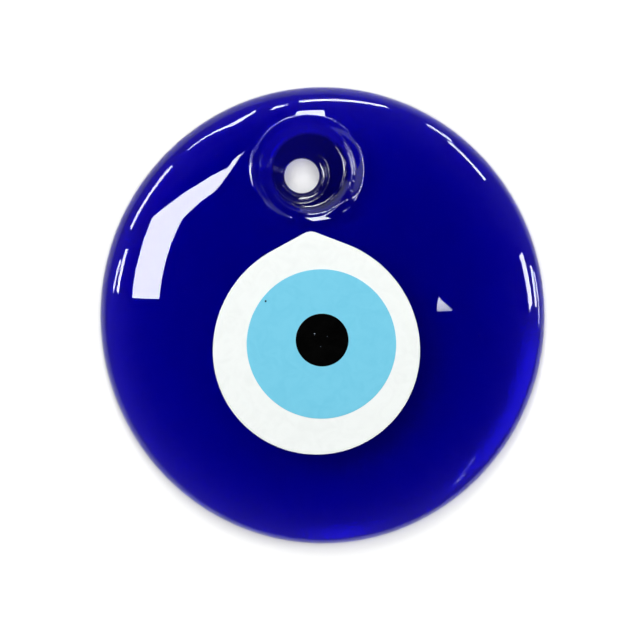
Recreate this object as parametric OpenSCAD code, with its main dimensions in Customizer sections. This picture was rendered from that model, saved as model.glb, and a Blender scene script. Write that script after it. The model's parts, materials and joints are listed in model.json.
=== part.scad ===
/* [Disc] */
// Width of the disc, from left to right
disc_w = 70; // [69:0.5:76]
// Height of the disc, from the bottom to the top above the hole, a little more than its width
disc_h = 71.9; // [70:0.1:76]
// Thickness at the middle of the face
disc_t = 7.5; // [7.3:0.1:7.8]
// Radius out to which the face is nearly flat
face_r = 22; // [21.8:0.1:22.8]
// How far the face falls between its middle and face_r
face_fall = 0.55; // [0.4:0.05:0.7]
// Slope of the rolled shoulder where the tight round of the rim begins, in degrees
rim_slope = 32; // [30:1:34]
// Radius of the tight round of the rim
rim_round = 2; // [1.7:0.1:2.4]
// Radius of the round under the rim, which the flat back cuts off
back_round = 1.8; // [1.7:0.1:2]

/* [Hole] */
// Radius of the hanging hole
hole_r = 2.7; // [2.4:0.1:2.9]
// Place of the hole, left or right of the middle
hole_x = -3.25; // [-4:0.25:-2.5]
// Place of the hole above the middle
hole_y = 21.9; // [21.5:0.1:22.5]
// Length of the hole's straight wall, up from the back
hole_wall = 2.9; // [2.6:0.1:3]
// Radius of the round by which the hole flares into the dish
throat_round = 1.4; // [1.3:0.1:1.6]
// Place of the dish round the hole, left or right of the middle
dish_x = -2.3; // [-2.6:0.1:-2]
// Place of the dish above the middle
dish_y = 22.7; // [22.4:0.1:23]
// Radius of the lip of the dish
dish_r = 8.7; // [8.4:0.1:8.9]
// Lean of the dish out towards the rim, in degrees
dish_lean = 6.9; // [6:0.1:8]

/* [Eye] */
// Radius of the round part of the white drop
white_r = 16.22; // [15.8:0.02:16.5]
// Radius of the two flanks that rise from the sides of the round to the blunt point
flank_r = 17.9; // [17.6:0.1:18.4]
// Radius of the blunt point
tip_r = 2.2; // [1.8:0.1:2.6]
// Height of the blunt point above the middle of the round
tip_y = 18.7; // [18.6:0.02:19]
// Place of the blunt point, left or right of the middle of the round
tip_x = -0.86; // [-1.2:0.02:-0.4]
// Place of the white drop, left or right of the middle of the disc
white_x = -0.95; // [-1.5:0.05:-0.5]
// Place of the white drop, above the middle of the disc where it is positive
white_y = -5.6; // [-5.9:0.01:-5.4]
// Radius of the light blue iris
iris_r = 11.7; // [11:0.1:12.4]
// Place of the iris, left or right of the middle of the disc
iris_x = -0.17; // [-0.5:0.01:0.2]
// Place of the iris above the middle of the disc
iris_y = -4.5; // [-5:0.01:-4.2]
// Radius of the black pupil
pupil_r = 4.14; // [3.6:0.01:4.8]
// Place of the pupil, left or right of the middle of the disc
pupil_x = -0.06; // [-0.5:0.01:0.4]
// Place of the pupil above the middle of the disc
pupil_y = -3.88; // [-4.4:0.01:-3.4]
// Gap between each piece and the pocket that holds it
gap = 0.05; // [0.03:0.01:0.08]

/* [Hidden] */
$fn = 240;

// Half the width, and the stretch that makes the round disc a little taller than wide
disc_r = disc_w / 2;
stretch = disc_h / disc_w;

// Half-section of the disc: a dome, a shoulder and a rim round that run into each other without a corner
dome_r = (face_r * face_r + face_fall * face_fall) / (2 * face_fall);
face_slope = asin(face_r / dome_r);
rim_start_r = disc_r - rim_round * (1 - sin(rim_slope));
shoulder_r = (rim_start_r - face_r) / (sin(rim_slope) - sin(face_slope));
dome_at = [0, disc_t - dome_r];
shoulder_at = dome_at + (dome_r - shoulder_r) * along(90 - face_slope);
rim_at = shoulder_at + (shoulder_r - rim_round) * along(90 - rim_slope);
back_at = [disc_r - back_round, rim_at[1]];
back_low = rim_at[1] - back_round;

// The dish round the hole: a row for each ring, from its lip inwards
// Columns: radius as a share of dish_r, depth below the plane of the lip
RADIUS = 0;
DEPTH = 1;
dish_rings = [
    [1.00, 0.00],
    [0.78, 1.20],
    [0.68, 1.35],
    [0.46, 1.95],
    [0.00, 2.05],
];
ring_steps = 6;
// Height of the lip's plane over the middle of the dish, and the wider space above it
lip_z = disc_t - 1.26;
lip_rise = 3;
lip_flare = 1.2;

// Each opaque drop lies in a pocket in the piece below it, and is a little thinner at its edge
// Columns: how far its face stands proud of the disc's, thickness at its middle, thickness at its edge
PROUD = 0;
MIDDLE = 1;
EDGE = 2;
white_layer = [0.05, 2.6, 1.2];
iris_layer = [0.10, 1.2, 0.7];
pupil_layer = [0.15, 0.6, 0.4];
above_all = disc_t + 3;

function along(angle) = [cos(angle), sin(angle)];
function ease(t) = t * t * (3 - 2 * t);

// Points of an arc from one direction to another, without the first, where the line before it ends
function arc(centre, radius, from, to, steps) =
    [for (k = [1:steps]) centre + radius * along(from + (to - from) * k / steps)];

// Points of the rounded step from ring i to the next ring inwards, without the last
function ring_step(i) = [
    for (k = [0:ring_steps - 1])
    let (t = k / ring_steps, here = dish_rings[i], next = dish_rings[i + 1])
    [dish_r * (here[RADIUS] + (next[RADIUS] - here[RADIUS]) * t), -here[DEPTH] - (next[DEPTH] - here[DEPTH]) * ease(t)]
];

// Direction, seen from the middle of a flank's round, in which its straight run to the blunt point begins
function leave_angle(middle_x, side) =
    let (to_tip = [tip_x - middle_x, tip_y - tip_r])
    atan2(to_tip[1], to_tip[0]) - side * acos((flank_r - tip_r) / norm(to_tip));

// From the middle of the back, round the rim and in over the face
module disc_half_section() {
    polygon(concat(
        [[0, back_low], [back_at[0], back_low]],
        arc(back_at, back_round, -90, 0, 5),
        arc(rim_at, rim_round, 0, 90 - rim_slope, 8),
        arc(shoulder_at, shoulder_r, 90 - rim_slope, 90 - face_slope, 8),
        arc(dome_at, dome_r, 90 - face_slope, 90, 3)
    ));
}

// The oval disc before anything is let into it, cut off flat at its back
module pressed_disc() {
    difference() {
        scale([1, stretch, 1]) rotate_extrude() disc_half_section();
        translate([-disc_w, -disc_w, back_low - 1]) cube([2 * disc_w, 2 * disc_w, 1 - back_low]);
    }
}

// Space of the dish, in rounded rings, open above
module dish_space() {
    last = len(dish_rings) - 1;
    translate([dish_x, dish_y, lip_z]) rotate([-dish_lean, 0, 0]) rotate_extrude() polygon(concat(
        [[0, lip_rise], [dish_r + lip_flare, lip_rise]],
        [for (i = [0:last - 1]) each ring_step(i)],
        [[0, -dish_rings[last][DEPTH]]]
    ));
}

// Space of the hole, and of the round by which it flares into the dish
module hole_space() {
    flare_r = hole_r + throat_round;
    translate([hole_x, hole_y, 0]) rotate_extrude() polygon(concat(
        [[0, -1], [hole_r, -1], [hole_r, hole_wall]],
        arc([flare_r, hole_wall], throat_round, 180, 90, 8),
        [[flare_r, disc_t], [0, disc_t]]
    ));
}

// Outline of the white drop about the middle of its round, grown by a margin
module drop_outline(margin) {
    flank_x = flank_r - white_r;
    right = leave_angle(-flank_x, 1);
    left = leave_angle(flank_x, -1);
    polygon(concat(
        arc([0, 0], white_r + margin, -180, 0, 36),
        arc([-flank_x, 0], flank_r + margin, 0, right, 12),
        arc([tip_x, tip_y - tip_r], tip_r + margin, right, left, 6),
        arc([flank_x, 0], flank_r + margin, left, 180, 12)
    ));
}

// What it is given, cut off by a round underside that is lowest at the middle of the drop
module over_underside(radius, layer, margin) {
    fall = layer[MIDDLE] - layer[EDGE];
    under_r = (radius * radius + fall * fall) / (2 * fall);
    low = disc_t + layer[PROUD] - layer[MIDDLE] - margin;
    wall_r = 1.3 * radius;
    intersection() {
        children();
        rotate_extrude() polygon(concat(
            [[0, above_all], [0, low]],
            arc([0, low + under_r], under_r, -90, asin(wall_r / under_r) - 90, 8),
            [[wall_r, above_all]]
        ));
    }
}

// What it is given, cut off by a face that lies a little proud of the disc's
module under_face(proud) {
    reach = 1.2 * face_r;
    intersection() {
        children();
        rotate_extrude() polygon(concat(
            [[0, 0], [reach, 0], dome_at + [0, proud] + dome_r * along(acos(reach / dome_r))],
            arc(dome_at + [0, proud], dome_r, acos(reach / dome_r), 90, 6)
        ));
    }
}

// The white drop, or the pocket that holds it where there is a margin, up to above the face
module white_shape(margin) {
    translate([white_x, white_y, 0]) over_underside(white_r, white_layer, margin)
        linear_extrude(height = above_all) drop_outline(margin);
}

module iris_shape(margin) {
    translate([iris_x, iris_y, 0]) over_underside(iris_r, iris_layer, margin)
        cylinder(r = iris_r + margin, h = above_all);
}

module pupil_shape(margin) {
    translate([pupil_x, pupil_y, 0]) over_underside(pupil_r, pupil_layer, margin)
        cylinder(r = pupil_r + margin, h = above_all);
}

module glass_disc() {
    color([0.03, 0.05, 0.55, 0.9]) difference() {
        pressed_disc();
        white_shape(gap);
        dish_space();
        hole_space();
    }
}

module eye_white() {
    color([0.95, 0.97, 0.96]) difference() {
        under_face(white_layer[PROUD]) white_shape(0);
        iris_shape(gap);
    }
}

module eye_iris() {
    color([0.46, 0.8, 0.91]) difference() {
        under_face(iris_layer[PROUD]) iris_shape(0);
        pupil_shape(gap);
    }
}

module eye_pupil() {
    color([0.02, 0.02, 0.02]) under_face(pupil_layer[PROUD]) pupil_shape(0);
}

glass_disc();
eye_white();
eye_iris();
eye_pupil();
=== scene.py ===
"""Evil eye amulet of hot-formed glass, lying face up on a pale floor under soft studio light."""

import json
import logging
import math
from dataclasses import dataclass, field
from enum import Enum
from typing import Callable

import bmesh
import bpy
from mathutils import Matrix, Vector


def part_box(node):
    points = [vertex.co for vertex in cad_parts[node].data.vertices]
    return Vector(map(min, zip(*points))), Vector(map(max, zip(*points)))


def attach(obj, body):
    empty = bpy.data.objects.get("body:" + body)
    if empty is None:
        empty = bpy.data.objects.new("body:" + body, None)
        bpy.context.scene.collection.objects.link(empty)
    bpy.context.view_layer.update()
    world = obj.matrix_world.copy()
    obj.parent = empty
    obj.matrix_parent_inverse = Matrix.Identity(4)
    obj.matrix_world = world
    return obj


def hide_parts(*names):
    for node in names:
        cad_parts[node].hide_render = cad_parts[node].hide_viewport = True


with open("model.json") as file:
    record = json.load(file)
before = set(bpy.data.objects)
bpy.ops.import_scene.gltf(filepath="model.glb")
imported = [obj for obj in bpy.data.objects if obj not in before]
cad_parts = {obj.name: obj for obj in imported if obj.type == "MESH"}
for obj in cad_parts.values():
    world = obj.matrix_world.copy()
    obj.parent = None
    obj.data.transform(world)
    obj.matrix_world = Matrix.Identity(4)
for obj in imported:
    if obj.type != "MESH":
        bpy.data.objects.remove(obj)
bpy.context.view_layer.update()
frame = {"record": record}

Tree = bpy.types.NodeTree
Socket = bpy.types.NodeSocket
Material = bpy.types.Material
Piece = bpy.types.Object
Pair = tuple[float, float]

MM = 0.001
FULL_TURN = 2 * math.pi
QUARTER_TURN = math.pi / 2
BODY = "root"

log = logging.getLogger("amulet")


def linear(hex_colour: str) -> tuple[float, float, float, float]:
    """Turn an sRGB hex colour into the linear colour that shaders take.

    Args:
        hex_colour: the colour as "#rrggbb".

    Returns:
        Linear red, green and blue, and an alpha of 1.
    """
    shares = [int(hex_colour[k : k + 2], 16) / 255 for k in (1, 3, 5)]
    red, green, blue = (s / 12.92 if s <= 0.04045 else ((s + 0.055) / 1.055) ** 2.4 for s in shares)
    return red, green, blue, 1.0


def add_node(
    tree: Tree, kind: str, settings: dict | None = None, links: dict | None = None
) -> bpy.types.Node:
    """Add a node to a tree, with its settings and links.

    Args:
        tree: the node tree of a material, a world or a form.
        kind: the node's type name.
        settings: values by the node's own setting, or else by the name or number of an input.
        links: outputs, Fields or plain numbers by the name or number of the input that each feeds.

    Returns:
        The new node.
    """
    node = tree.nodes.new(kind)
    for name, value in (settings or {}).items():
        if isinstance(name, str) and hasattr(node, name):
            setattr(node, name, value)
        else:
            node.inputs[name].default_value = value
    for name, source in (links or {}).items():
        if isinstance(source, int | float):
            node.inputs[name].default_value = source
        else:
            tree.links.new(getattr(source, "output", source), node.inputs[name])
    return node


def put_in_scene(name: str, data: bpy.types.ID) -> Piece:
    """Put a new object into the scene.

    Args:
        name: the object's name.
        data: its mesh, lamp or camera.

    Returns:
        The object, at the origin.
    """
    thing = bpy.data.objects.new(name, data)
    bpy.context.scene.collection.objects.link(thing)
    return thing


def start_material(name: str) -> tuple[Material, Tree, Socket]:
    """Start a material with an empty tree.

    Args:
        name: what the real material is.

    Returns:
        The material, its tree, and the output that gives a place on its piece, in metres.
    """
    made = bpy.data.materials.new(name)
    made.use_nodes = True
    tree = made.node_tree
    tree.nodes.clear()
    return made, tree, add_node(tree, "ShaderNodeTexCoord").outputs["Object"]


def end_form(tree: Tree, form: Socket, material: Material) -> None:
    """End a form's tree: make its faces real and dress them.

    Args:
        tree: the Geometry Nodes tree.
        form: the output that gives the form.
        material: the finish of the whole form.
    """
    real = add_node(tree, "GeometryNodeRealizeInstances", {}, {0: form})
    dressed = add_node(tree, "GeometryNodeSetMaterial", {"Material": material}, {0: real.outputs[0]})
    add_node(tree, "NodeGroupOutput", {}, {0: dressed.outputs[0]})


def work_out(piece: Piece, tree: Tree, sizes: dict[str, float]) -> None:
    """Work a form's tree out on a piece, and keep the result as its plain mesh, with no modifier on it.

    Args:
        piece: the piece, with the mesh that the tree starts from.
        tree: the Geometry Nodes tree.
        sizes: the values of the tree's inputs, by their names.
    """
    modifier = piece.modifiers.new("form", "NODES")
    modifier.node_group = tree
    for item in tree.interface.items_tree:
        if item.name in sizes:
            modifier[item.identifier] = sizes[item.name]
    mesh = bpy.data.meshes.new_from_object(piece.evaluated_get(bpy.context.evaluated_depsgraph_get()))
    piece.modifiers.remove(modifier)
    piece.data = mesh


class Field:
    """A number that varies from place to place, on which plain arithmetic can be written."""

    def __init__(self, tree: Tree, output: Socket) -> None:
        """Keep the output that gives the number, and the tree that it is in."""
        self.tree = tree
        self.output = output

    def maths(self, operation: str, *others: "Number") -> "Field":
        """Work out a number from this one and others.

        Args:
            operation: the name of the Math node's operation.
            others: the other numbers that it takes, in order.

        Returns:
            The result.
        """
        inputs = dict(enumerate((self, *others)))
        node = add_node(self.tree, "ShaderNodeMath", {"operation": operation}, inputs)
        return Field(self.tree, node.outputs[0])

    def __add__(self, other: "Number") -> "Field":
        """Add another number."""
        return self.maths("ADD", other)

    def __sub__(self, other: "Number") -> "Field":
        """Take another number away."""
        return self.maths("SUBTRACT", other)

    def __mul__(self, other: "Number") -> "Field":
        """Multiply by another number."""
        return self.maths("MULTIPLY", other)

    def __truediv__(self, other: "Number") -> "Field":
        """Divide by another number."""
        return self.maths("DIVIDE", other)

    def __neg__(self) -> "Field":
        """Change the sign."""
        return self.maths("MULTIPLY", -1.0)

    def __rsub__(self, other: float) -> "Field":
        """Take this number from a plain one."""
        return -self + other

    __radd__ = __add__
    __rmul__ = __mul__

    def square(self) -> "Field":
        """Multiply the number by itself."""
        return self * self

    def root(self) -> "Field":
        """Take the square root, or 0 where the number is negative."""
        return self.maths("SQRT")

    def cosine(self) -> "Field":
        """Take the cosine of an angle in radians."""
        return self.maths("COSINE")

    def sine(self) -> "Field":
        """Take the sine of an angle in radians."""
        return self.maths("SINE")

    def below(self, limit: "Number") -> "Field":
        """Give 1 where the number is below a limit, and 0 elsewhere."""
        return self.maths("LESS_THAN", limit)

    def choose(self, yes: "Number", no: "Number") -> "Field":
        """Choose between two numbers.

        Args:
            yes: the number where this one is 1.
            no: the number where this one is 0.

        Returns:
            The chosen number.
        """
        inputs = {"Switch": self, "True": yes, "False": no}
        node = add_node(self.tree, "GeometryNodeSwitch", {"input_type": "FLOAT"}, inputs)
        return Field(self.tree, node.outputs[0])

    def ease(self, start: "Number", end: "Number") -> "Field":
        """Rise smoothly from 0 to 1 while the number goes from start to end.

        Args:
            start: where the rise starts.
            end: where it ends.

        Returns:
            The share of the rise.
        """
        share = ((self - start) / (end - start)).maths("MINIMUM", 1.0).maths("MAXIMUM", 0.0)
        return share.square() * (3 - 2 * share)


Number = Field | float
Place = tuple[Field, Field, Number]


def parts_of(tree: Tree, output: Socket) -> tuple[Field, Field, Field]:
    """Give the three parts of a place as numbers."""
    split = add_node(tree, "ShaderNodeSeparateXYZ", {}, {0: output})
    return tuple(Field(tree, part) for part in split.outputs)


def distance(x: Field, y: Field) -> Field:
    """Give the distance of a place from the middle, from its two parts."""
    return (x.square() + y.square()).root()


class FormTree:
    """A Geometry Nodes tree that lays bands of faces by a rule and closes them into one form."""

    def __init__(self, name: str, sizes: dict[str, float]) -> None:
        """Start the tree with one named input for each size.

        Args:
            name: the tree's name.
            sizes: the inputs' names, and their values in metres or radians.
        """
        self.tree = bpy.data.node_groups.new(name, "GeometryNodeTree")
        self.sizes = sizes
        for label in sizes:
            self.tree.interface.new_socket(label, in_out="INPUT", socket_type="NodeSocketFloat")
        self.tree.interface.new_socket("Form", in_out="OUTPUT", socket_type="NodeSocketGeometry")
        self.given = add_node(self.tree, "NodeGroupInput")
        self.bands: list[Socket] = []

    def size(self, label: str) -> Field:
        """Give the named input as a number."""
        return Field(self.tree, self.given.outputs[label])

    def lay_band(self, rows: int, columns: int, rule: Callable[[Field, Field], Place]) -> None:
        """Lay one band of faces round the form.

        Args:
            rows: the number of faces across the band.
            columns: the number of faces round it.
            rule: gives the place of a point from its share across the band and its angle round it.
        """
        settings = {"Vertices X": rows + 1, "Vertices Y": columns + 1}
        grid = add_node(self.tree, "GeometryNodeMeshGrid", settings)
        across, round_share, _ = parts_of(self.tree, grid.outputs["UV Map"])
        place = rule(across, round_share * FULL_TURN)
        joined = add_node(self.tree, "ShaderNodeCombineXYZ", {}, dict(enumerate(place)))
        links = {"Geometry": grid.outputs["Mesh"], "Position": joined.outputs[0]}
        self.bands.append(add_node(self.tree, "GeometryNodeSetPosition", {}, links).outputs[0])

    def close(self, name: str, material: Material, seam: float = 0.5e-6) -> Piece:
        """Join the bands, close the seams between them and turn the dressed form into a plain mesh.

        Args:
            name: the piece's name.
            material: the finish of the whole form.
            seam: how far apart two points of a seam may lie, in metres.

        Returns:
            The piece, at the origin, with no modifier on it.
        """
        joined = add_node(self.tree, "GeometryNodeJoinGeometry")
        for band in self.bands:
            self.tree.links.new(band, joined.inputs[0])
        whole = add_node(self.tree, "GeometryNodeMergeByDistance", {"Distance": seam}, {0: joined.outputs[0]})
        smooth = add_node(self.tree, "GeometryNodeSetShadeSmooth", {}, {0: whole.outputs[0]})
        end_form(self.tree, smooth.outputs[0], material)
        piece = put_in_scene(name, bpy.data.meshes.new(name))
        work_out(piece, self.tree, self.sizes)
        piece.data.name = name
        return piece


class Surface(Enum):
    """How the surface of a glass piece came to be, with the size of its marks in millimetres."""

    FIRE_POLISHED = 6.0
    PRESSED_LEVEL = 3.0


@dataclass(frozen=True)
class Spot:
    """A round spot of another colour, at a place in millimetres in the amulet's frame.

    It is full out to one share of its radius, and gone at another.
    """

    x: float
    y: float
    radius: float
    colour: str
    full: float = 0.6
    gone: float = 1.2

    def lay_over(self, colour: Socket, x: Field, y: Field, strength: Number = 1.0) -> Socket:
        """Lay the spot over the glass's own colour.

        Args:
            colour: the output that gives the colour so far.
            x: the place, left or right, in metres.
            y: the place, up or down the face.
            strength: how strong the spot is there.

        Returns:
            The output that gives the colour with the spot in it.
        """
        away = distance(x - self.x * MM, y - self.y * MM)
        share = (1 - away.ease(self.full * self.radius * MM, self.gone * self.radius * MM)) * strength
        # Inputs 6 and 7 are the node's two colours, and output 2 is their mix
        settings = {"data_type": "RGBA", 7: linear(self.colour)}
        return add_node(x.tree, "ShaderNodeMix", settings, {0: share, 6: colour}).outputs[2]


@dataclass(frozen=True)
class ClearGlass:
    """Clear coloured glass, which takes its depth of colour from its thickness, with sizes in millimetres."""

    name: str
    slot: str
    # How fast the glass takes red, green and blue out of light, for each metre that it crosses
    absorbed_per_metre: tuple[float, float, float]
    # Painted shade: the glass is tinted darker in the dish round the hole, standing in for the shade there,
    # and the tint fades out towards the back
    painted_dish_shade: Spot
    painted_shade_levels: Pair = (0.5, 1.5)
    surface: Surface = Surface.FIRE_POLISHED
    cord_width: float = 18.0
    cord_tints: tuple[str, str] = ("#f4f6ff", "#ffffff")
    # The grain that the press plate left in the back. It scatters light, so the glass is evenly dark over it
    plate_grain: float = 0.6
    plate_relief: float = 26.0
    plate_levels: Pair = (0.05, 0.6)
    ior: float = 1.52

    def material(self) -> Material:
        """Make the material: sharp reflections, refraction, and colour that deepens with thickness.

        Returns:
            The material, with its faint cords of denser glass, its fire-polished skin and its grained back.
        """
        made, tree, where = start_material(self.name)
        x, y, z = parts_of(tree, where)
        settings = {"Scale": 1 / (self.cord_width * MM), "Detail": 3.0, "Distortion": 1.5}
        cords = add_node(tree, "ShaderNodeTexNoise", settings, {"Vector": where})
        ramp = add_node(tree, "ShaderNodeValToRGB", {}, {0: cords.outputs[0]})
        for stop, position, tint in zip(ramp.color_ramp.elements, (0.35, 0.65), self.cord_tints):
            stop.position, stop.color = position, linear(tint)
        # Painted shade: the dish round the hole is tinted darker, fading out towards the back
        strength = z.ease(*(level * MM for level in self.painted_shade_levels))
        colour = self.painted_dish_shade.lay_over(ramp.outputs[0], x, y, strength)
        settings = {"Scale": 1 / (self.surface.value * MM), "Detail": 2.0}
        skin = add_node(tree, "ShaderNodeTexNoise", settings, {"Vector": where})
        settings = {"Scale": 1 / (self.plate_grain * MM), "Detail": 2.0}
        plate = add_node(tree, "ShaderNodeTexNoise", settings, {"Vector": where})
        on_plate = 1 - z.ease(*(level * MM for level in self.plate_levels))
        relief = Field(tree, skin.outputs[0]) + Field(tree, plate.outputs[0]) * on_plate * self.plate_relief
        settings = {"Strength": 0.05, "Distance": 0.02 * MM}
        bump = add_node(tree, "ShaderNodeBump", settings, {"Height": relief})
        settings = {"Roughness": 0.0, "IOR": self.ior, "Transmission Weight": 1.0}
        links = {"Base Color": colour, "Normal": bump.outputs[0]}
        shader = add_node(tree, "ShaderNodeBsdfPrincipled", settings, links)
        # The node takes out its density times what its colour leaves of 1
        density = max(self.absorbed_per_metre)
        left_over = [1 - share / density for share in self.absorbed_per_metre]
        settings = {"Color": (*left_over, 1.0), "Density": density}
        depth = add_node(tree, "ShaderNodeVolumeAbsorption", settings)
        links = {"Surface": shader.outputs[0], "Volume": depth.outputs[0]}
        add_node(tree, "ShaderNodeOutputMaterial", {}, links)
        return made


@dataclass(frozen=True)
class OpaqueGlass:
    """Opaque coloured glass, laid on hot and pressed level, so that it shines like the glass round it."""

    name: str
    slot: str
    colour: str
    swirl_colour: str
    surface: Surface = Surface.PRESSED_LEVEL
    specks: tuple[Spot, ...] = ()
    ior: float = 1.52
    roughness: float = 0.06

    def material(self) -> Material:
        """Make the material: even, milky colour with faint swirls, under a smooth glass skin.

        Returns:
            The material, with the specks that are shut in it.
        """
        made, tree, where = start_material(self.name)
        x, y, _ = parts_of(tree, where)
        settings = {"Scale": 1 / (self.surface.value * MM), "Detail": 4.0, "Distortion": 2.0}
        swirls = add_node(tree, "ShaderNodeTexNoise", settings, {"Vector": where})
        ramp = add_node(tree, "ShaderNodeValToRGB", {}, {0: swirls.outputs[0]})
        tints = (self.swirl_colour, self.colour)
        for stop, position, tint in zip(ramp.color_ramp.elements, (0.3, 0.6), tints):
            stop.position, stop.color = position, linear(tint)
        colour = ramp.outputs[0]
        for speck in self.specks:
            colour = speck.lay_over(colour, x, y)
        settings = {"Strength": 0.1, "Distance": 0.02 * MM}
        bump = add_node(tree, "ShaderNodeBump", settings, {"Height": swirls.outputs[0]})
        settings = {"Roughness": self.roughness, "IOR": self.ior}
        links = {"Base Color": colour, "Normal": bump.outputs[0]}
        shader = add_node(tree, "ShaderNodeBsdfPrincipled", settings, links)
        add_node(tree, "ShaderNodeOutputMaterial", {}, {"Surface": shader.outputs[0]})
        return made


@dataclass(frozen=True)
class MattCard:
    """White card with a matt coat, for the floor, with its grain in millimetres."""

    name: str = "white card, matt coated"
    grain: float = 0.8
    tints: tuple[str, str] = ("#f3f3f3", "#f6f6f6")
    glow: float = 0.16

    def material(self) -> Material:
        """Make the material: white without gloss, with a faint grain.

        Returns:
            The material, which glows a little, because light from all over a room reaches a floor.
        """
        made, tree, where = start_material(self.name)
        settings = {"Scale": 1 / (self.grain * MM), "Detail": 3.0}
        grain = add_node(tree, "ShaderNodeTexNoise", settings, {"Vector": where})
        ramp = add_node(tree, "ShaderNodeValToRGB", {}, {0: grain.outputs[0]})
        for stop, tint in zip(ramp.color_ramp.elements, self.tints):
            stop.color = linear(tint)
        settings = {"Roughness": 0.9, "Specular IOR Level": 0.1, "Emission Strength": self.glow}
        settings["Emission Color"] = linear("#ffffff")
        shader = add_node(tree, "ShaderNodeBsdfPrincipled", settings, {"Base Color": ramp.outputs[0]})
        add_node(tree, "ShaderNodeOutputMaterial", {}, {"Surface": shader.outputs[0]})
        return made


# Cobalt oxide takes nine tenths of the red and green out of light within 3 mm and lets most blue through, so
# thick glass is deep royal blue and thin edges are violet. Fire-polished glass mirrors lamps sharply.
COBALT_GLASS = ClearGlass(
    name="cobalt blue soda-lime glass, pressed hot and fire-polished",
    slot="cobalt_glass",
    absorbed_per_metre=(760.0, 860.0, 98.0),
    # Painted shade: a darker tint in the dish round the hole
    painted_dish_shade=Spot(-1.98, 22.61, 6.5, "#4e4e76", full=0.88, gone=1.0),
)
# Tin-white glass scatters all light, and shows a faint grey-green swirl where it was stirred hot
WHITE_GLASS = OpaqueGlass(
    name="opaque white soda-lime glass, laid on hot and pressed level",
    slot="white_glass",
    colour="#eef2f0",
    swirl_colour="#eaeeec",
)
# Turquoise glass is even and milky, with a few grains of soot shut in
LIGHT_BLUE_GLASS = OpaqueGlass(
    name="opaque turquoise soda-lime glass, laid on hot and pressed level",
    slot="light_blue_glass",
    colour="#76c9e3",
    swirl_colour="#71c5e0",
    specks=(Spot(-8.9, 2.2, 0.17, "#0a1230"),),
)
# Black glass shows only what it reflects, and a few pale grains
BLACK_GLASS = OpaqueGlass(
    name="opaque black soda-lime glass, laid on hot and pressed level",
    slot="black_glass",
    colour="#030303",
    swirl_colour="#060606",
    specks=(
        Spot(-1.25, -2.9, 0.09, "#8fa0b0"),
        Spot(0.75, -3.3, 0.06, "#56606c"),
        Spot(-0.3, -4.9, 0.06, "#4a525c"),
    ),
)


@dataclass(frozen=True)
class Circle:
    """A circle on the face, in millimetres."""

    x: float
    y: float
    radius: float


@dataclass(frozen=True)
class DishStep:
    """A step down towards the hole, between two circles that needn't share a middle.

    The softness of its outer and inner edges is a share of its width, and its fall is in millimetres.
    """

    outer: Circle
    inner: Circle
    outer_soft: float
    inner_soft: float
    fall: float = 0.0

    def share(self, x: Field, y: Field) -> Field:
        """Give how much of the step lies outside a place.

        Args:
            x: the place, left or right, in metres.
            y: the place, up or down the face.

        Returns:
            The share, 0 outside the outer circle and 1 inside the inner one.
        """
        from_x, from_y = x - self.outer.x * MM, y - self.outer.y * MM
        shift_x, shift_y = (self.inner.x - self.outer.x) * MM, (self.inner.y - self.outer.y) * MM
        radius, narrower = self.outer.radius * MM, (self.outer.radius - self.inner.radius) * MM
        squeeze = narrower**2 - shift_x**2 - shift_y**2
        reach = radius * narrower - from_x * shift_x - from_y * shift_y
        away = distance(from_x, from_y)
        inside = radius**2 - away.square()
        share = (reach - (reach.square() - squeeze * inside).maths("MAXIMUM", 0.0).root()) / squeeze
        return share.maths("SMOOTH_MAX", 0.0, self.outer_soft).maths("SMOOTH_MIN", 1.0, self.inner_soft)

    def depth(self, x: Field, y: Field) -> Field:
        """Give how far the step has fallen at a place."""
        return self.share(x, y) * (self.fall * MM)


@dataclass(frozen=True)
class ToolMark:
    """A fine ridge left beside the hole by the turning tool, in millimetres.

    It shows on the side that it faces, in degrees, and fades in between two cosines of the angle from there.
    """

    circle: Circle
    height: float
    width: float
    facing: float
    none: float
    full: float

    def rise(self, x: Field, y: Field) -> Field:
        """Give how far the ridge stands over the face.

        Args:
            x: the place, left or right, in metres.
            y: the place, up or down the face.

        Returns:
            Its height there.
        """
        from_x, from_y = x - self.circle.x * MM, y - self.circle.y * MM
        away = distance(from_x, from_y)
        off = (away - self.circle.radius * MM) / (self.width * MM)
        facing = math.radians(self.facing)
        ahead = (from_x * math.cos(facing) + from_y * math.sin(facing)) / away
        return (-off.square()).maths("EXPONENT") * ahead.ease(self.none, self.full) * (self.height * MM)


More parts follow.
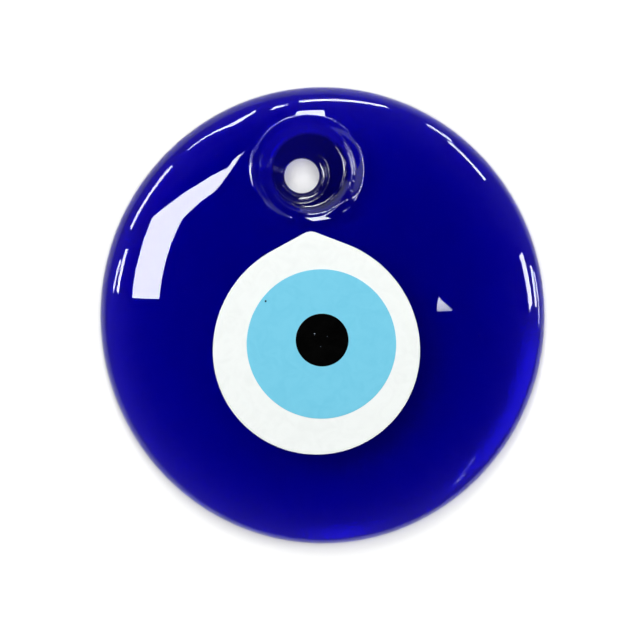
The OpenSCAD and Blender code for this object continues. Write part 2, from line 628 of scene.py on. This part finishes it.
@dataclass(frozen=True)
class SeedBubbles:
    """The seeds, tiny round bubbles of air shut in the clear glass, in millimetres."""

    places: tuple[tuple[float, float, float], ...] = (
        (-16.37, 24.85, 3.6),
        (-21.5, 3.98, 5.6),
        (-19.06, 11.38, 5.2),
        (11.42, 25.08, 4.4),
        (24.5, -3.11, 5.2),
    )
    radius: float = 0.15
    # The smallest and the largest bubble's share of that radius
    smallest: float = 0.7
    largest: float = 1.1
    random_seed: int = 7

    def _tree(self, material: Material) -> Tree:
        """Put a round bubble of its own size at each point, with its faces towards the air in it.

        Args:
            material: the finish of the glass that they are in.

        Returns:
            The tree, with named inputs for the bubbles' sizes.
        """
        tree = bpy.data.node_groups.new("seed bubbles", "GeometryNodeTree")
        tree.interface.new_socket("Points", in_out="INPUT", socket_type="NodeSocketGeometry")
        for label in ("Radius", "Smallest", "Largest"):
            tree.interface.new_socket(label, in_out="INPUT", socket_type="NodeSocketFloat")
        tree.interface.new_socket("Bubbles", in_out="OUTPUT", socket_type="NodeSocketGeometry")
        given = add_node(tree, "NodeGroupInput").outputs
        ball = add_node(tree, "GeometryNodeMeshIcoSphere", {"Subdivisions": 3}, {"Radius": given["Radius"]})
        turned = add_node(tree, "GeometryNodeFlipFaces", {}, {0: ball.outputs["Mesh"]})
        smooth = add_node(tree, "GeometryNodeSetShadeSmooth", {}, {0: turned.outputs[0]})
        settings = {"data_type": "FLOAT", "Seed": self.random_seed}
        links = {2: given["Smallest"], 3: given["Largest"]}
        share = add_node(tree, "FunctionNodeRandomValue", settings, links)
        links = {"Points": given["Points"], "Instance": smooth.outputs[0], "Scale": share.outputs[1]}
        bubbles = add_node(tree, "GeometryNodeInstanceOnPoints", {}, links)
        end_form(tree, bubbles.outputs[0], material)
        return tree

    def shut_in(self, piece: Piece) -> None:
        """Add the bubbles to the mesh of a piece.

        Args:
            piece: the piece of glass that they are in.
        """
        mesh = bpy.data.meshes.new("seed bubbles")
        mesh.from_pydata([Vector(place) * MM for place in self.places], [], [])
        bubbles = put_in_scene("seed bubbles", mesh)
        sizes = {"Radius": self.radius * MM, "Smallest": self.smallest, "Largest": self.largest}
        work_out(bubbles, self._tree(piece.data.materials[0]), sizes)
        joined = bmesh.new()
        joined.from_mesh(piece.data)
        joined.from_mesh(bubbles.data)
        joined.to_mesh(piece.data)
        joined.free()
        bpy.data.objects.remove(bubbles)


@dataclass(frozen=True)
class FaceDome:
    """The nearly flat dome of the face, which the disc and the drops in it share, in millimetres."""

    level: float = 7.5
    reach: float = 22.0
    fall: float = 0.55

    @property
    def radius(self) -> float:
        """Give the dome's radius, from how far it falls between its middle and its reach."""
        return (self.reach**2 + self.fall**2) / (2 * self.fall)


@dataclass
class GlassDisc:
    """The clear disc with its dished hanging hole, in millimetres."""

    finish: ClearGlass = COBALT_GLASS
    seeds: SeedBubbles = SeedBubbles()
    dome: FaceDome = FaceDome()
    rim_slope: float = math.radians(32)
    rim_round: float = 2.0
    back_round: float = 1.8
    back_turn: float = math.radians(75)
    back_blend: float = 0.15
    edge_round: float = 0.25
    throat_round: float = 1.0
    lip_drop: float = 1.87
    dish_lean: float = math.radians(10.5)
    # The lip blends the face into the level of the leaning dish, so it has no fall of its own
    lip: DishStep = DishStep(Circle(-2.3, 22.7, 8.75), Circle(-2.4, 22.65, 7.5), 0.03, 0.2)
    steps: tuple[DishStep, ...] = (
        DishStep(Circle(-1.98, 22.61, 6.7), Circle(-2.45, 22.75, 5.85), 0.2, 0.3, fall=0.8),
        DishStep(Circle(-3.3, 21.97, 4.35), Circle(-3.3, 21.97, 3.9), 0.3, 0.1, fall=0.4),
    )
    ridge: ToolMark = ToolMark(Circle(-2.3, 22.5, 8.15), 0.26, 0.6, 200.0, 0.1, 0.9)
    # A low swell left of the dish: it sets in at a cosine of the angle from straight left, above and below
    # the dish's middle, and is held down near the rim and round the white drop
    swell_height: float = 0.46
    swell_start: float = 8.5
    swell_end: float = 20.8
    swell_above: float = 0.25
    swell_below: float = 0.5
    swell_rim: float = 33.5
    swell_fade: float = 6.0
    drop: Circle = Circle(-0.95, -5.6, 17.0)
    drop_hold: float = 1.4
    ripple_size: float = 9.0
    ripple_depth: float = 0.012
    columns: int = 300
    # The rows of each band, in the order that they are laid, and how much the face's crowd towards the hole
    band_rows: tuple[int, ...] = (5, 8, 12, 240, 22, 14, 8)
    crowding: float = 1.5
    width: float = field(init=False)
    height: float = field(init=False)
    hole: Circle = field(init=False)
    form: FormTree = field(init=False)

    def __post_init__(self) -> None:
        """Take the outer sizes from the frame's disc and the hole from its mount, and start the form."""
        low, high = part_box("glass_disc")
        self.width, self.height, _ = ((high - low) / MM)[:]
        mount = next(mount for mount in frame["record"]["mounts"] if mount["name"] == "hanging_hole")
        self.hole = Circle(*(part / MM for part in mount["pos_m"][:2]), mount["dims"]["r_mm"])
        self.form = FormTree("pressed disc", self._section())

    def _section(self) -> dict[str, float]:
        """Work out the rounds of the disc's section, which run into each other without a corner.

        Returns:
            The sizes of the section by name: lengths in metres, an angle in radians, a stretch and a slope.
        """
        disc_radius = self.width / 2
        dome = self.dome.radius
        face_slope = math.asin(self.dome.reach / dome)
        rim_start = disc_radius - self.rim_round * (1 - math.sin(self.rim_slope))
        shoulder = (rim_start - self.dome.reach) / (math.sin(self.rim_slope) - math.sin(face_slope))
        shoulder_up = self.dome.level - dome + (dome - shoulder) * math.cos(face_slope)
        lengths = {
            "Face level": self.dome.level,
            "Face reach": self.dome.reach,
            "Dome radius": dome,
            "Shoulder radius": shoulder,
            "Shoulder out": (dome - shoulder) * math.sin(face_slope),
            "Shoulder up": shoulder_up,
            "Rim start": rim_start,
            "Rim round": self.rim_round,
            "Rim out": disc_radius - self.rim_round,
            "Rim up": shoulder_up + (shoulder - self.rim_round) * math.cos(self.rim_slope),
            "Back round": self.back_round,
            "Back out": disc_radius - self.back_round,
            "Back blend": self.back_blend,
            "Hole radius": self.hole.radius,
            "Hole X": self.hole.x,
            "Hole Y": self.hole.y,
            "Edge round": self.edge_round,
            "Throat round": self.throat_round,
            "Dish X": self.lip.outer.x,
            "Dish Y": self.lip.outer.y,
            "Dish level": self.dome.level - self.lip_drop,
            "Swell height": self.swell_height,
            "Swell start": self.swell_start,
            "Swell end": self.swell_end,
            "Swell rim": self.swell_rim,
            "Drop X": self.drop.x,
            "Drop Y": self.drop.y,
            "Drop radius": self.drop.radius,
        }
        return {name: value * MM for name, value in lengths.items()} | {
            "Stretch": self.height / self.width,
            "Rim slope": self.rim_slope,
            "Dish lean": math.tan(self.dish_lean),
        }

    def _surface(self, x: Field, y: Field) -> Field:
        """Give the height of the face, its dish included, over a place.

        Args:
            x: the place, left or right.
            y: the place, up or down the face.

        Returns:
            The height above the back.
        """
        size = self.form.size
        # How far out the place is, as on the round disc before its stretch
        out = distance(x, y / size("Stretch"))
        domed = size("Face level") - out.square() / (2 * size("Dome radius"))
        shoulder = size("Shoulder up") + (
            size("Shoulder radius").square() - (out - size("Shoulder out")).square()
        ).root()
        face = out.below(size("Face reach")).choose(domed, shoulder)
        # The soft, uneven waves of glass that was once liquid
        place = add_node(x.tree, "ShaderNodeCombineXYZ", {}, {0: x, 1: y})
        settings = {"Scale": 1 / (self.ripple_size * MM), "Detail": 1.0, "Roughness": 0.4}
        ripple = add_node(x.tree, "ShaderNodeTexNoise", settings, {"Vector": place.outputs[0]})
        face = face + (Field(x.tree, ripple.outputs[0]) - 0.5) * (2 * self.ripple_depth * MM)
        # The swell beside the dish
        from_x, from_y = x - size("Dish X"), y - size("Dish Y")
        across = distance(from_x, from_y)
        swell = size("Swell height") * (1 - across.ease(size("Swell start"), size("Swell end")))
        sets_in = from_y.below(0.0) * (self.swell_below - self.swell_above) + self.swell_above
        sideways = (-from_x / across).ease(sets_in, 1.0)
        from_drop = distance(x - size("Drop X"), y - size("Drop Y"))
        beside = from_drop.ease(size("Drop radius"), self.drop_hold * size("Drop radius"))
        face = face + swell * sideways * beside * (size("Swell rim") - out).ease(0.0, self.swell_fade * MM)
        # The dish
        level = size("Dish level") - from_y * size("Dish lean")
        surface = face + (level - face) * self.lip.share(x, y)
        for step in self.steps:
            surface = surface - step.depth(x, y)
        return surface + self.ridge.rise(x, y)

    def _reach(self, out: Field, angle: Field) -> Field:
        """Give how far the hole's middle is from an oval round the disc's, in a direction.

        Args:
            out: how far out the oval lies, as on the round disc before its stretch.
            angle: the direction, seen from the hole.

        Returns:
            The distance.
        """
        size = self.form.size
        ahead_x, ahead_y = angle.cosine(), angle.sine() / size("Stretch")
        from_x, from_y = size("Hole X"), size("Hole Y") / size("Stretch")
        along = from_x * ahead_x + from_y * ahead_y
        ahead = ahead_x.square() + ahead_y.square()
        short = from_x.square() + from_y.square() - out.square()
        return ((along.square() - ahead * short).root() - along) / ahead

    def _from_hole(self, away: Field, angle: Field) -> tuple[Field, Field]:
        """Give the place that lies so far away from the hole's middle, in a direction."""
        size = self.form.size
        return size("Hole X") + away * angle.cosine(), size("Hole Y") + away * angle.sine()

    def build(self) -> Piece:
        """Lay the disc's bands, from the hole's lower edge over the face and round to its back.

        Returns:
            The closed disc.
        """
        size = self.form.size
        hole, edge, flare = (size(label) for label in ("Hole radius", "Edge round", "Throat round"))

        def lower_edge(share: Field, angle: Field) -> Place:
            """Round the hole's lower edge, from the back up to its wall."""
            turn = share * QUARTER_TURN
            away = hole + edge * (1 - turn.sine())
            return *self._from_hole(away, angle), edge * (1 - turn.cosine())

        def wall(share: Field, angle: Field) -> Place:
            """Rise straight up the hole's wall to its throat."""
            x, y = self._from_hole(hole, angle)
            top = self._surface(x, y) - flare
            return x, y, edge + (top - edge) * share

        def throat(share: Field, angle: Field) -> Place:
            """Flare out from the hole's wall to the floor of the dish."""
            turn = share * QUARTER_TURN
            away = hole + flare * (1 - turn.cosine())
            x, y = self._from_hole(away, angle)
            return x, y, self._surface(x, y) - flare * (1 - turn.sine())

        def face(share: Field, angle: Field) -> Place:
            """Cross the dish and the face to where the rim's round starts."""
            start = hole + flare
            end = self._reach(size("Rim start"), angle)
            away = start + (end - start) * share.maths("POWER", self.crowding)
            x, y = self._from_hole(away, angle)
            return x, y, self._surface(x, y)

        def rim(share: Field, angle: Field) -> Place:
            """Round the rim down to its widest line."""
            slope = size("Rim slope") + (QUARTER_TURN - size("Rim slope")) * share
            out = size("Rim out") + size("Rim round") * slope.sine()
            x, y = self._from_hole(self._reach(out, angle), angle)
            start = size("Rim up") + size("Rim round") * size("Rim slope").cosine()
            at_start = self._from_hole(self._reach(size("Rim start"), angle), angle)
            wave = (self._surface(*at_start) - start) * (1 - share).square()
            return x, y, size("Rim up") + size("Rim round") * slope.cosine() + wave

        def under_rim(share: Field, angle: Field) -> Place:
            """Turn in under the rim until the flat back starts."""
            turn = share * self.back_turn
            out = size("Back out") + size("Back round") * turn.cosine()
            x, y = self._from_hole(self._reach(out, angle), angle)
            low = size("Rim up") - size("Back round") * turn.sine()
            return x, y, low.maths("SMOOTH_MAX", 0.0, size("Back blend"))

        def back(share: Field, angle: Field) -> Place:
            """Cross the flat back, at height 0, to the hole."""
            out = size("Back out") + size("Back round") * math.cos(self.back_turn)
            start = self._reach(out, angle)
            end = hole + edge
            return *self._from_hole(start + (end - start) * share, angle), 0.0

        rules = (lower_edge, wall, throat, face, rim, under_rim, back)
        for rows, rule in zip(self.band_rows, rules):
            self.form.lay_band(rows, self.columns, rule)
        piece = self.form.close("cobalt_disc", self.finish.material())
        self.seeds.shut_in(piece)
        return piece


@dataclass
class PressedDrop:
    """One opaque drop, pressed level with the face, in millimetres."""

    name: str
    node: str
    finish: OpaqueGlass
    proud: float
    middle_thickness: float
    edge_thickness: float
    flank_radius: float | None = None
    tip_radius: float = 0.0
    tip_x: float = 0.0
    columns: int = 360
    band_rows: tuple[int, ...] = (24, 16, 16)

    def sizes(self) -> dict[str, float]:
        """Work the drop's sizes out from the frame's solid.

        Returns:
            The sizes, in metres and radians, by name.
        """
        low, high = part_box(self.node)
        radius = (high.x - low.x) / 2
        middle_x, middle_y = (high.x + low.x) / 2, low.y + radius
        flank = self.flank_radius * MM if self.flank_radius else radius
        tip_radius = self.tip_radius * MM
        tip_x, tip_y = self.tip_x * MM, high.y - middle_y - tip_radius
        turns = [QUARTER_TURN, QUARTER_TURN]
        if self.flank_radius:
            for k, side in enumerate((1, -1)):
                across = tip_x + side * (flank - radius)
                turns[k] = math.atan2(tip_y, across) - side * math.acos(
                    (flank - tip_radius) / math.hypot(across, tip_y)
                )
        return {
            "Middle X": middle_x,
            "Middle Y": middle_y,
            "Round radius": radius,
            "Flank radius": flank,
            "Tip radius": tip_radius,
            "Tip X": tip_x,
            "Tip Y": tip_y,
            "Right turn": turns[0],
            "Left turn": turns[1],
            "Proud": self.proud * MM,
            "Middle thickness": self.middle_thickness * MM,
            "Edge thickness": self.edge_thickness * MM,
        }


@dataclass
class PressedEye:
    """The white, the iris and the pupil, three drops laid on each other, in millimetres."""

    dome: FaceDome = FaceDome()
    edge_round: float = 0.05
    drops: tuple[PressedDrop, ...] = (
        PressedDrop("white_drop", "eye_white", WHITE_GLASS, 0.05, 2.6, 1.2, 17.9, 2.2, -0.86),
        PressedDrop("iris_drop", "eye_iris", LIGHT_BLUE_GLASS, 0.10, 1.2, 0.7),
        PressedDrop("pupil_drop", "eye_pupil", BLACK_GLASS, 0.15, 0.6, 0.4),
    )

    def _outline(self, form: FormTree, angle: Field, margin: Number, share: Number) -> tuple[Field, Field]:
        """Give a place on the drop's outline, beside it or within it.

        Args:
            form: the tree.
            angle: the direction in which the outline faces there, and half a turn more.
            margin: how far outside the outline the place lies.
            share: how far out it lies, as a share of the way from the drop's middle.

        Returns:
            The place.
        """
        size = form.size
        flank_out = size("Flank radius") - size("Round radius")
        facing = angle - math.pi
        before_tip = facing.below(size("Right turn"))
        before_left = facing.below(size("Left turn"))
        lower = facing.below(0.0)

        def of_arc(low: Number, right: Number, tip: Number, left: Number) -> Field:
            """Choose the number of the arc that faces that way."""
            return lower.choose(low, before_tip.choose(right, before_left.choose(tip, left)))

        from_x = of_arc(0.0, -flank_out, size("Tip X"), flank_out)
        from_y = of_arc(0.0, 0.0, size("Tip Y"), 0.0)
        flank = size("Flank radius")
        radius = margin + of_arc(size("Round radius"), flank, size("Tip radius"), flank)
        x = size("Middle X") + (from_x + radius * facing.cosine()) * share
        y = size("Middle Y") + (from_y + radius * facing.sine()) * share
        return x, y

    def _build_drop(self, drop: PressedDrop) -> Piece:
        """Lay one drop's bands: its face, its side and its underside.

        Args:
            drop: the drop and its sizes.

        Returns:
            The closed drop.
        """
        form = FormTree(f"pressed {drop.name}", drop.sizes())
        size = form.size
        edge = self.edge_round * MM

        def level(x: Field, y: Field) -> Field:
            """Give the height of the drop's face."""
            fall = (x.square() + y.square()) / (2 * self.dome.radius * MM)
            return size("Proud") + self.dome.level * MM - fall

        def face(share: Field, angle: Field) -> Place:
            """Cross the face from its middle to the round of its edge."""
            x, y = self._outline(form, angle, -edge, share)
            return x, y, level(x, y)

        def side(share: Field, angle: Field) -> Place:
            """Go over the rounded edge and straight down the side."""
            depth = share.square() * size("Edge thickness")
            left = (1 - depth / edge).maths("MAXIMUM", 0.0)
            inset = (1 - (1 - left.square()).root()) * edge
            x, y = self._outline(form, angle, -inset, 1.0)
            on_face = self._outline(form, angle, -edge, 1.0)
            return x, y, level(*on_face) - depth

        def underside(share: Field, angle: Field) -> Place:
            """Cross the round underside back to its middle."""
            left = 1 - share
            x, y = self._outline(form, angle, 0.0, left)
            on_face = self._outline(form, angle, -edge, left)
            fall = size("Middle thickness") - size("Edge thickness")
            return x, y, level(*on_face) - size("Middle thickness") + fall * left.square()

        for rows, rule in zip(drop.band_rows, (face, side, underside)):
            form.lay_band(rows, drop.columns, rule)
        return form.close(drop.name, drop.finish.material())

    def build(self) -> list[tuple[PressedDrop, Piece]]:
        """Build the three drops, and give each with its piece."""
        return [(drop, self._build_drop(drop)) for drop in self.drops]


class Lights(Enum):
    """What a lamp lights, as the kinds of ray that see it."""

    EVERYTHING = ("diffuse", "glossy", "transmission")
    GLASS_ALONE = ("glossy", "transmission")
    MATT_ALONE = ("diffuse",)


@dataclass(frozen=True)
class Softbox:
    """A flat lamp that hangs level over the amulet, placed by the directions in which its ends lie.

    The directions and the width are shares of the lamp's height: 1 is as far to the side as it is high. The
    height is a share of the studio's lamp height.
    """

    name: str
    start: Pair
    end: Pair
    width: float
    radiance: float = 19.4
    lights: Lights = Lights.EVERYTHING
    height: float = 1.0


@dataclass(frozen=True)
class PointedLamp:
    """A small lamp with three corners, brighter towards its point, placed as a softbox is."""

    foot: Pair = (0.1263, 0.1412)
    foot_level: float = 0.0057
    point: Pair = (0.1268, 0.0204)
    foot_radiance: float = 8.0
    point_radiance: float = 21.0
    row_count: int = 9

    def rows(self) -> tuple[Softbox, ...]:
        """Lay the lamp out as thin level rows.

        Returns:
            A softbox for each row, from the foot up.
        """
        depth = (self.point[1] - self.foot_level) / self.row_count
        rows = []
        for k in range(self.row_count):
            share = (k + 0.5) / self.row_count
            left, right = (end + (self.point[0] - end) * share for end in self.foot)
            level = self.foot_level + (k + 0.5) * depth
            radiance = self.foot_radiance + (self.point_radiance - self.foot_radiance) * share
            rows.append(Softbox(f"pointed lamp, row {k + 1}", (left, level), (right, level), depth, radiance))
        return tuple(rows)


@dataclass
class Studio:
    """The camera, the lamps, the glow of the room and the floor, in millimetres."""

    camera_distance: float = 900.0
    rim_level: float = 1.436
    view_width: float = 100.81
    view_x: float = -0.394
    view_y: float = -0.748
    sensor: float = 36.0
    lamp_height: float = 800.0
    floor_size: float = 3000.0
    floor_drop: float = 0.05
    # The walls glow at the horizon, more towards -X and +Y, and reach higher there towards +Y. Along the left
    # one runs a brighter skirting
    room_glow: float = 0.25
    glow_across: Pair = (-0.35, 0.45)
    wall_top: Pair = (0.29, 0.31)
    higher_at_top: float = 0.15
    skirting_top: Pair = (0.27, 0.31)
    skirting_glow: float = 0.8
    skirting_turn: float = 0.5
    skirting_side: Pair = (-0.2, 0.6)
    floor: MattCard = MattCard()
    glass_bounces: int = 24
    gloss_bounces: int = 12
    matt_bounces: int = 6
    # The overhead fill lights matt surfaces alone, or it would veil the glass, and the left softbox the glass
    # alone, or its shadow would be dark
    softboxes: tuple[Softbox, ...] = (
        Softbox("overhead fill", (-0.5, 0.0), (0.5, 0.0), 1.0, 2.75, Lights.MATT_ALONE, 1.3),
        Softbox("left softbox", (-0.755, 0.07), (-0.72, 0.53), 0.55, lights=Lights.GLASS_ALONE),
        Softbox("left softbox, corner", (-0.436, 0.3), (-0.414, 0.69), 0.052, lights=Lights.GLASS_ALONE),
        Softbox("top softbox", (-0.075, 0.58), (-0.075, 1.26), 0.18),
        Softbox("far top strip", (-0.19, 1.66), (0.58, 1.79), 0.1),
        Softbox("short top strip", (-0.4, 1.62), (-0.29, 1.57), 0.06),
        Softbox("upper left strip", (-0.58, 1.72), (-1.15, 1.34), 0.04),
        Softbox("left corner strip", (-1.25, 1.18), (-1.63, 0.71), 0.12),
        Softbox("left window", (-1.488, 0.481), (-1.574, 0.164), 0.12),
        Softbox("far left window", (-1.678, 0.438), (-1.81, 0.21), 0.1),
        Softbox("right window", (1.57, 0.46), (1.72, 0.06), 0.2),
        Softbox("far right window", (2.01, 0.45), (2.05, 0.08), 0.14),
        Softbox("farther right window", (2.21, 0.43), (2.49, -0.13), 0.14),
        Softbox("upper right strip", (0.97, 1.68), (1.21, 1.55), 0.1),
        Softbox("right corner strip", (1.09, 1.44), (1.35, 1.07), 0.1),
        Softbox("lower right slit", (1.15, -1.02), (1.135, -1.1), 0.012),
        Softbox("lower right corner slit", (1.1, -1.1), (1.07, -1.13), 0.012),
        Softbox("far lower right slit", (1.248, -1.302), (1.108, -1.355), 0.01),
    )
    pointed_lamp: PointedLamp = PointedLamp()

    def add_camera(self) -> None:
        """Hang the camera straight over the amulet."""
        data = bpy.data.cameras.new("camera")
        data.sensor_width = self.sensor
        data.lens = self.sensor * self.camera_distance / self.view_width
        data.clip_start, data.clip_end = 0.01, 10.0
        camera = put_in_scene("camera", data)
        camera.location = Vector((self.view_x, self.view_y, self.rim_level + self.camera_distance)) * MM
        bpy.context.scene.camera = camera

    def add_softboxes(self) -> None:
        """Hang the lamps."""
        for box in self.softboxes + self.pointed_lamp.rows():
            height = box.height * self.lamp_height * MM
            along = Vector(box.end) - Vector(box.start)
            data = bpy.data.lights.new(box.name, "AREA")
            data.shape = "RECTANGLE"
            data.size, data.size_y = along.length * height, box.width * height
            # A flat lamp's radiance is its power over its area and pi
            data.energy = box.radiance * math.pi * data.size * data.size_y
            lamp = put_in_scene(box.name, data)
            middle = (Vector(box.start) + Vector(box.end)) / 2 * height
            lamp.location = (*middle, height)
            lamp.rotation_euler.z = math.atan2(along.y, along.x)
            for kind in Lights.EVERYTHING.value:
                setattr(lamp, f"visible_{kind}", kind in box.lights.value)

    def add_room(self) -> None:
        """Let the walls of the room glow near the horizon and leave its ceiling dark."""
        world = bpy.data.worlds.new("room")
        bpy.context.scene.world = world
        world.use_nodes = True
        tree = world.node_tree
        tree.nodes.clear()
        x, y, z = parts_of(tree, add_node(tree, "ShaderNodeTexCoord").outputs["Generated"])
        wall = x * self.glow_across[0] + y * self.glow_across[1] + self.room_glow
        above_wall = (z - y.maths("MAXIMUM", 0.0) * self.higher_at_top).ease(*self.wall_top)
        skirting = (1 - z.ease(*self.skirting_top)) * self.skirting_glow
        skirting = skirting * (y * self.skirting_turn - x).ease(*self.skirting_side)
        glow = (wall * (1 - above_wall)).maths("MAXIMUM", skirting)
        settings = {"Color": linear("#ffffff")}
        background = add_node(tree, "ShaderNodeBackground", settings, {"Strength": glow})
        add_node(tree, "ShaderNodeOutputWorld", {}, {"Surface": background.outputs[0]})

    def add_floor(self) -> None:
        """Lay the pale floor just under the amulet's back."""
        half = self.floor_size * MM / 2
        level = -self.floor_drop * MM
        mesh = bpy.data.meshes.new("floor")
        corners = [(-half, -half, level), (half, -half, level), (half, half, level), (-half, half, level)]
        mesh.from_pydata(corners, [], [(0, 1, 2, 3)])
        mesh.materials.append(self.floor.material())
        floor = put_in_scene("floor", mesh)

    def set_up(self) -> None:
        """Set up the whole studio, and the way in which light is followed through glass."""
        self.add_camera()
        self.add_softboxes()
        self.add_room()
        self.add_floor()
        scene = bpy.context.scene
        scene.view_settings.view_transform = "Standard"
        scene.cycles.max_bounces = scene.cycles.transmission_bounces = self.glass_bounces
        scene.cycles.glossy_bounces = self.gloss_bounces
        scene.cycles.diffuse_bounces = self.matt_bounces


def main() -> None:
    """Set the studio up, build each piece in order and tie it to the frame."""
    logging.basicConfig(level=logging.INFO, format="%(message)s")
    Studio().set_up()
    log.info("studio set up")

    disc = GlassDisc()
    piece = disc.build()
    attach(piece, BODY)
    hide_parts("glass_disc")
    log.info("%s: %d faces", piece.name, len(piece.data.polygons))

    for drop, piece in PressedEye().build():
        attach(piece, BODY)
        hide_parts(drop.node)
        log.info("%s: %d faces", piece.name, len(piece.data.polygons))


if __name__ == "__main__":
    main()
